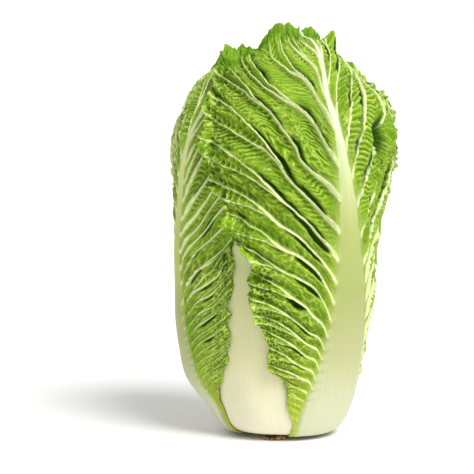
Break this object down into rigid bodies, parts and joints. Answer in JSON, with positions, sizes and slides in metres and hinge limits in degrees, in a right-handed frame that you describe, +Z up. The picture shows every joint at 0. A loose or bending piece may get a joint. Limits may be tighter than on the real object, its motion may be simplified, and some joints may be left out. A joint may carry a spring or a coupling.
{
  "type": "napa cabbage",
  "caption": "Upright barrel-shaped head of Chinese cabbage on its trimmed base: veined, frilled wrapper leaves with broad pale ribs closing over a dense heart.",
  "frame": {"origin": "centre of the knife-cut face that the head stands on", "axes": "+Z up the head's axis from the cut base to the crown, -Y towards the side where one wrapper leaf laps over the next, +X to the right of it"},
  "size_m": [0.1653, 0.1655, 0.302],
  "materials": {
    "leaf": "satin, slightly waxy green blade with a pale juicy midrib",
    "heart": "satin, pale yellow-green",
    "stem": "dull, freshly cut, cream with tan leaf scars"
  },
  "bodies": {
    "root": {"stem": "stem", "outer_leaf_1": "leaf", "outer_leaf_2": "leaf", "outer_leaf_3": "leaf", "middle_leaf_1": "leaf", "middle_leaf_2": "leaf", "middle_leaf_3": "leaf", "inner_leaf_1": "leaf", "inner_leaf_2": "leaf", "inner_leaf_3": "leaf", "heart": "heart"}
  },
  "joints": []
}
